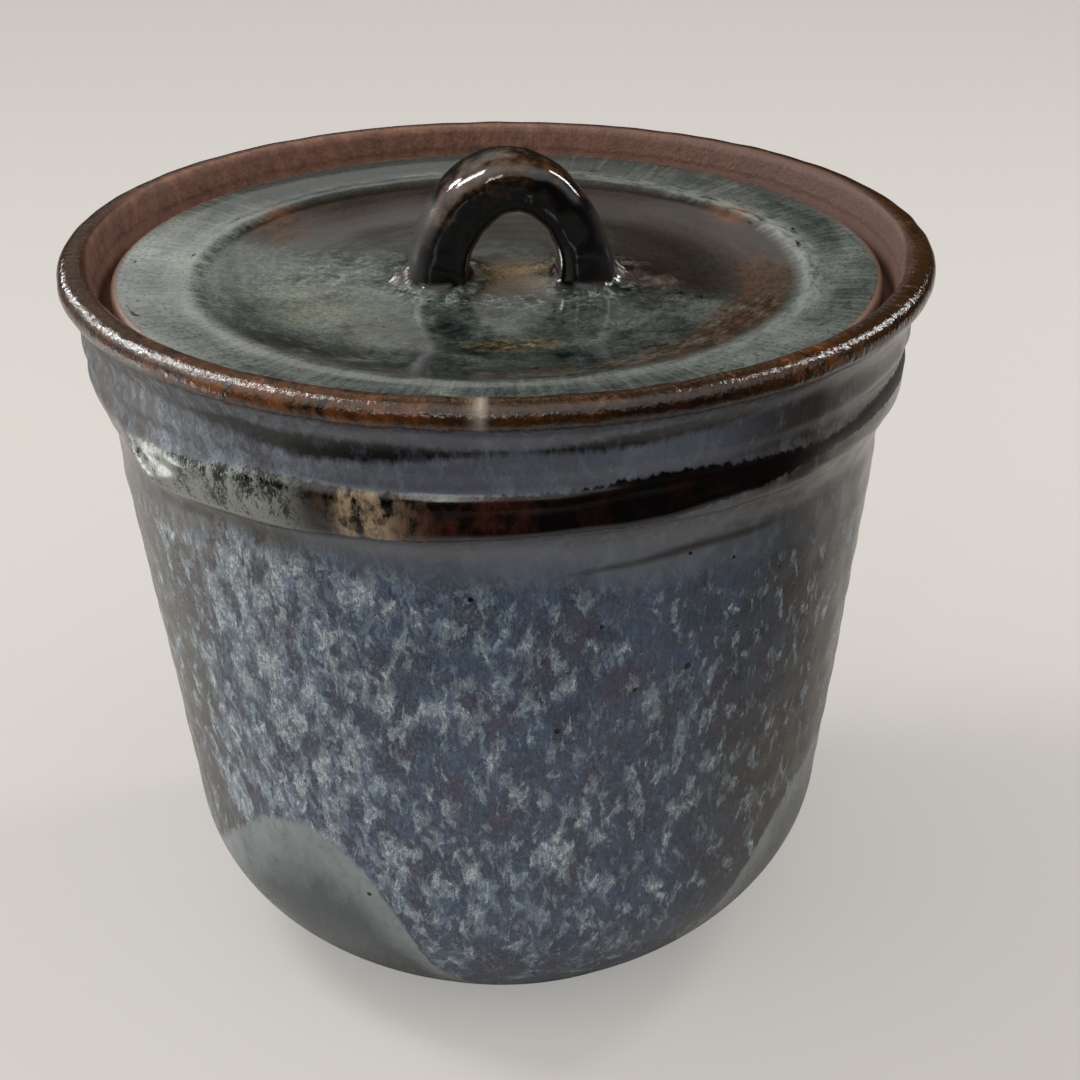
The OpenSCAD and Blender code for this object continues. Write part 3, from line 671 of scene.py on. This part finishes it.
def lidGlaze(f, piece):
    made, node, tone, paint, place = glaze("pooled_ash_glaze", f.shades, piece)
    spin = node("CombineXYZ", (paint.radius, paint.spinX, paint.spinY))  # follows the wheel's turning
    spokes = node("Mapping", {0: spin, 3: f.combRun})  # across it
    streak = node("TexNoise", {
        "Vector": spin, "Scale": 1 / f.streakWide, "Detail": 5.0, "Roughness": 0.6, "Distortion": 0.5})
    thin = node("TexNoise", (spin, 1 / f.thinWide, 4.0, 0.65))
    dash = node("TexNoise", (spin, 1 / f.dashWide, 2.0))
    comb = node("TexNoise", (spokes, 1 / f.combWide, 4.0, 0.6))
    cloud, grain, froth, blot = (
        node("TexNoise", {"Vector": place, "Scale": per(size), "Detail": fine, "Roughness": rough, "Distortion": bent})
        for size, fine, rough, bent in f.noises)
    # dish: dark pool with pale clouds, brown at the right, yellow and ochre patches
    level = node("Math", (paint.leftPale, 0.5, streak), **timesPlus)
    level = node("Math", (node("Mix", (0.35, blot, froth)), 1.7, node("Math", (level, cloud), **plus)), **timesPlus)
    brownNoise, yellowNoise = node("Mix", (0.5, streak, blot)), node("Mix", (0.45, cloud, froth))
    pool = laid(
        node, tone.dish, (tone.dishPale, level, (1.78, 2.4)),
        (tone.dishBrown, brownNoise, (0.32, 0.5), paint.rightBrown),
        (tone.yellow, yellowNoise, (0.4, 0.56), paint.yellow), (tone.ochre, blot, (0.3, 0.48), paint.middle),
        (tone.ochre, thin, (0.42, 0.58), paint.ochreArc))
    # brown slope at its edge, scum and curds that floated on the pool, black glaze at the strap's feet
    warmth = node("MapRange", (thin, 0.38, 0.6, 0.3, 1.3))
    warmth = node("Math", (paint.slopeWarm, warmth), use_clamp=True, **times)
    slopeTone = node("Mix", (warmth, tone.slope, tone.slopeWarm), **blend)
    broken = node("Math", (node("Math", (streak, thin), **plus), cloud), **plus)
    onSlope = node("Math", (broken, 1.1, paint.slopeBrown), **timesPlus)
    scum = node("Math", (paint.leftPale, 0.16, node("Mix", (0.5, streak, thin))), **timesPlus)
    scum = node("Math", (scum, node("Math", (paint.rightBrown, 0.15), **times)), **minus)
    colour = laid(node, pool, (slopeTone, onSlope, (1.98, 2.4)), (tone.scum, scum, (0.58, 0.74, 0, 0.6)))
    curds = [node("Math", (where, node("MapRange", (froth, 0.5, high, 0, full))), **times)
             for where, high, full in ((paint.nearFeet, 0.66, 1.0), (paint.curdy, 0.64, 0.9))]
    colour = node("Mix", (node("Math", curds, **larger), colour, tone.curd), **blend)
    footIn = node("Math", (grain, 0.4, paint.footBlack), **timesPlus)
    colour = laid(node, colour, (tone.dish, grain, (0.54, 0.34, 0, 0.6)), (tone.line, footIn, (0.55, 0.85)))
    # ring: grey-green combed outwards, its inner edge ragged where the glaze is pale, a painted highlight on its bead
    ringLevel = node("Math", (paint.leftPale, 0.5, 0.25), **timesPlus)
    for noise, share in ((streak, 0.5), (comb, 0.4)):
        ringLevel = node("Math", (noise, share, ringLevel), **timesPlus)
    ringTone = laid(
        node, tone.ring, (tone.ringPale, ringLevel, (0.85, 1.3)), (tone.dish, grain, (0.5, 0.34, 0, 0.55)),
        (tone.ringPale, thin, (0.36, 0.6), paint.rimPale))
    combed, back = (node("MapRange", (paint.leftPale, 0.5, 1.0, *reach)) for reach in (f.combReach, f.combBack))
    edgeAt = node("Math", (back, node("Math", (comb, combed, paint.radius), **timesPlus)), **minus)
    colour = laid(
        node, colour, (ringTone, edgeAt, f.ringFrom), (tone.red, cloud, (0.4, 0.55), paint.redSpot),
        (tone.line, dash, (0.30, 0.25)))
    tailIn = node("MapRange", (node("Math", (grain, 0.35, paint.tails), **timesPlus), 0.42, 0.7))
    # bare clay at the rim and underneath, sandy and unevenly flashed by the fire
    rim = node("MapRange", (node("Math", (comb, f.rimComb, paint.radius), **timesPlus), *f.rimFrom))
    gritty = node("MapRange", (node("Mix", (0.5, cloud, grain)), 0.38, 0.6))
    bare, under = (node("Mix", (gritty, dark, light), **blend)
                   for dark, light in ((tone.bareDark, tone.bare), (tone.underDark, tone.under)))
    for share, shade in ((tailIn, tone.smear), (rim, bare)):
        colour = node("Mix", (share, colour, shade), **blend)
    colour = node("Mix", (paint.upper, under, colour), **blend)
    rough = node("MapRange", (grain, 0.3, 0.7, *f.poolRough))
    rough = node("Math", (tailIn, f.tailRough, rough), **timesPlus)
    rough = node("Mix", (rim, rough, f.rimRough))
    rough = node("Mix", (paint.upper, f.underRough, rough))
    fire(node, f, colour, rough, froth)
    return made


# Handle glaze, iron-black and glassy, thin and rust-brown where it ran off the strap's edges
# its grey-brown top is partly a painted reflection of the sky
strapFinish = dict(
    shades=dict(black="#030304", brown="#1c120d", rust="#3f2815", grey="#3d362f"),
    spotWide=4.0, fineWide=0.9, wornBy=2.6, wornFrom=1.4, gloss=(0.04, 0.1), flankRough=0.45,
    bump=0.16, bumpHigh=0.0005, ior=1.52)


def strapGlaze(f, piece):
    made, node, tone, paint, place = glaze("iron_black_glaze", f.shades, piece)
    spots = node("TexNoise", (place, per(f.spotWide), 6.0, 0.7))
    fine = node("TexNoise", (place, per(f.fineWide), 3.0))
    wornAndSheen = node("Math", (paint.wear, f.wornFrom), **minus)
    wornAndSheen = node("Math", (spots, f.wornBy, wornAndSheen), **timesPlus)
    # black, then brown and rust where the glaze wore thin, then grey where the sky's reflection is painted on top
    colour = node("ValToRGB", {0: wornAndSheen}, ramp=(
        (0.42, tone.black), (0.62, tone.brown), (0.86, tone.rust), (1.0, tone.grey)))
    rough = node("MapRange", (fine, 0.3, 0.7, *f.gloss))
    rough = node("Math", (paint.flank, f.flankRough, rough), **timesPlus)
    fire(node, f, colour, rough, spots)
    return made


for piece, body, node, slotName, finish in (
        (jarPiece, "jar", "jar_body", "jar_glaze", jarGlaze(Named(**jarFinish), jarPiece, pits)),
        (lidPiece, "lid", "lid_plate", "lid_glaze", lidGlaze(Named(**lidFinish), lidPiece)),
        (strapPiece, "lid", "lid_handle", "handle_glaze", strapGlaze(Named(**strapFinish), strapPiece))):
    piece.data.materials.append(finish)
    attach(piece, body)
    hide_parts(node)
print("pieces dressed")

# Studio: paper sweep, lamps at the left, right and front, a strip and a card that only reflections show, and a room
# whose light depends on direction; the camera alone sees plain pale paper and a plain pale room
studio = dict(
    shades=dict(floor="#aaa6a1", floorSeen="#8a8681", floorGlow="#c6c4c2", floorFront="#2c2a28"),
    glow=0.54, paperRough=0.9, sweepFront=-3.0, sweepBack=2.4, sweepHalf=3.0, sweepRise=0.8,
    sweepColumns=9, sweepEnd=-60,
    # where the paper darkens for reflections: axis, from, to, in metres
    darker=dict(front=("Y", -0.10, -0.30), far=("Y", 0.35, 0.9), right=("X", 0.1, 0.26), near=("Y", 0.1, -0.05)),
    aim=(0, 0, 0.1), boxes=dict(
        left=dict(at=(-0.62, 0.17, 0.82), size=(0.22, 0.40), watts=6.4),
        strip=dict(at=(-0.51, 0.42, 0.50), size=(0.08, 0.20), watts=2.6, mirrored=True),
        card=dict(at=(-0.296, 0.003, 0.052), size=(0.05, 0.11), watts=0.12, mirrored=True),
        right=dict(at=(0.62, 0.36, 0.66), size=(0.14, 0.36), watts=3.2),
        front=dict(at=(-0.27, -1.17, 0.72), size=(0.07, 0.34), watts=1.4)),
    room=dict(left="#f2efeb", right="#c9b296", seen="#c6c2bc"), leftLevel=0.66, rightLevel=0.05, lowLevel=0.06,
    # the room's light by direction: axis, from, to, and the levels there
    turns=dict(rightward=("X", -0.03, 0.09, 0, 1), backward=("Y", -0.3, 0.6, 0, 1), upward=("Z", 0.62, 0.98, 0, 0.56),
               wallLow=("Z", 0.26, 0.38, 0, 1), wallTop=("Z", 0.66, 0.5, 0, 1), before=("Z", 0.2, 0.5, 0.06, 1.26),
               leftX=("X", -0.45, -0.8, 0, 1), leftZ=("Z", 0.0, 0.12, 0, 1)),
    lens=80.0, sensor=36.0, eye=(0.0, -0.5004, 0.3325), yaw=-1.03, pitch=64.21, roll=-0.38)


def makeSweep(s):
    # floor that bends up into a backdrop: a line in the YZ plane carried along X
    bend = swing([s.sweepBack, s.sweepRise], s.sweepRise, -90, s.sweepEnd, 12)
    line = np.concatenate([[[s.sweepFront, 0.0]], bend])
    across = np.linspace(-s.sweepHalf, s.sweepHalf, s.sweepColumns)
    grid = [(x, y, z) for y, z in line.tolist() for x in across.tolist()]
    here = np.arange(len(grid)).reshape(len(line), -1)
    quads = np.stack([here[:-1, :-1], here[:-1, 1:], here[1:, 1:], here[1:, :-1]], axis=-1).reshape(-1, 4)
    mesh = bpy.data.meshes.new("sweep")
    mesh.from_pydata(grid, [], quads.tolist())
    mesh.shade_smooth()
    sweep = bpy.data.objects.new("sweep", mesh)
    bpy.context.scene.collection.objects.link(sweep)
    paper, node, tone, _, place = glaze("backdrop_paper", s.shades)
    spot = node("SeparateXYZ", {0: place}).node
    dark = Named(**{name: node("MapRange", (spot.outputs[axis], low, high), **smooth)
                    for name, (axis, low, high) in s.darker.items()})
    front = node("Math", (dark.front, dark.far), **larger)
    front = node("Math", (front, node("Math", (dark.right, dark.near), **times)), **larger)
    seen = node("LightPath", out="Is Camera Ray")
    colour = node("Mix", (front, tone.floor, tone.floorFront), **blend)
    colour = node("Mix", (seen, colour, tone.floorSeen), **blend)
    glow = node("Math", (seen, s.glow), **times)  # evens out the paper for the camera alone
    shader = node("BsdfPrincipled", {
        "Base Color": colour, "Emission Color": tone.floorGlow, "Emission Strength": glow,
        "Roughness": s.paperRough, "Specular IOR Level": 0.0})  # matte, so the low card leaves no glow on it
    node("OutputMaterial", {0: shader})
    mesh.materials.append(paper)


def makeRoom(s):
    world = bpy.data.worlds.new("room")
    bpy.context.scene.world = world
    world.use_nodes = True
    world.node_tree.nodes.clear()
    node = partial(add, world.node_tree)
    tone = Named(**{label: linear(code) for label, code in s.room.items()})
    towards = node("SeparateXYZ", {0: node("TexCoord", out="Generated")}).node
    turns = Named(**{name: node("MapRange", (towards.outputs[axis], *levels), **smooth)
                     for name, (axis, *levels) in s.turns.items()})
    level = node("Mix", (turns.rightward, s.leftLevel, s.rightLevel))
    onWall = node("Math", (turns.wallLow, turns.wallTop), **times)
    level = node("Mix", (onWall, s.lowLevel, level))
    level = node("Mix", (turns.backward, turns.before, level))
    level = node("Math", (level, turns.upward), **plus)
    leftSide = node("Math", (turns.leftX, turns.leftZ), **times)
    level = node("Math", (level, leftSide), **plus)
    warm = node("Math", (turns.rightward, turns.backward), **times)
    hue = node("Mix", (warm, tone.left, tone.right), **blend)
    seen = node("LightPath", out="Is Camera Ray")
    hue = node("Mix", (seen, hue, tone.seen), **blend)
    level = node("Mix", (seen, level, 1.0))
    node("OutputWorld", {0: node("Background", (hue, level))})


def makeStudio(s):
    scene = bpy.context.scene
    makeSweep(s)
    for name, box in s.boxes.items():
        lamp = bpy.data.lights.new("box_" + name, "AREA")
        lamp.shape, lamp.energy = "RECTANGLE", box["watts"]
        lamp.size, lamp.size_y = box["size"]
        holder = bpy.data.objects.new("box_" + name, lamp)
        at = Vector(box["at"])
        holder.matrix_world = Matrix.Translation(at) @ (at - Vector(s.aim)).to_track_quat("Z", "Y").to_matrix().to_4x4()
        holder.visible_camera = False
        holder.visible_diffuse = not box.get("mirrored", False)  # some only show as reflections
        scene.collection.objects.link(holder)
    makeRoom(s)
    view = bpy.data.cameras.new("camera")
    view.lens, view.sensor_width = s.lens, s.sensor
    eye = bpy.data.objects.new("camera", view)
    eye.matrix_world = Matrix.Translation(s.eye)
    for degrees, axis in ((s.yaw, "Z"), (s.pitch, "X"), (s.roll, "Z")):
        eye.matrix_world = eye.matrix_world @ Matrix.Rotation(np.radians(degrees), 4, axis)
    scene.collection.objects.link(eye)
    scene.camera = eye
    scene.view_settings.view_transform = "Standard"


makeStudio(Named(**studio))
print("studio set")
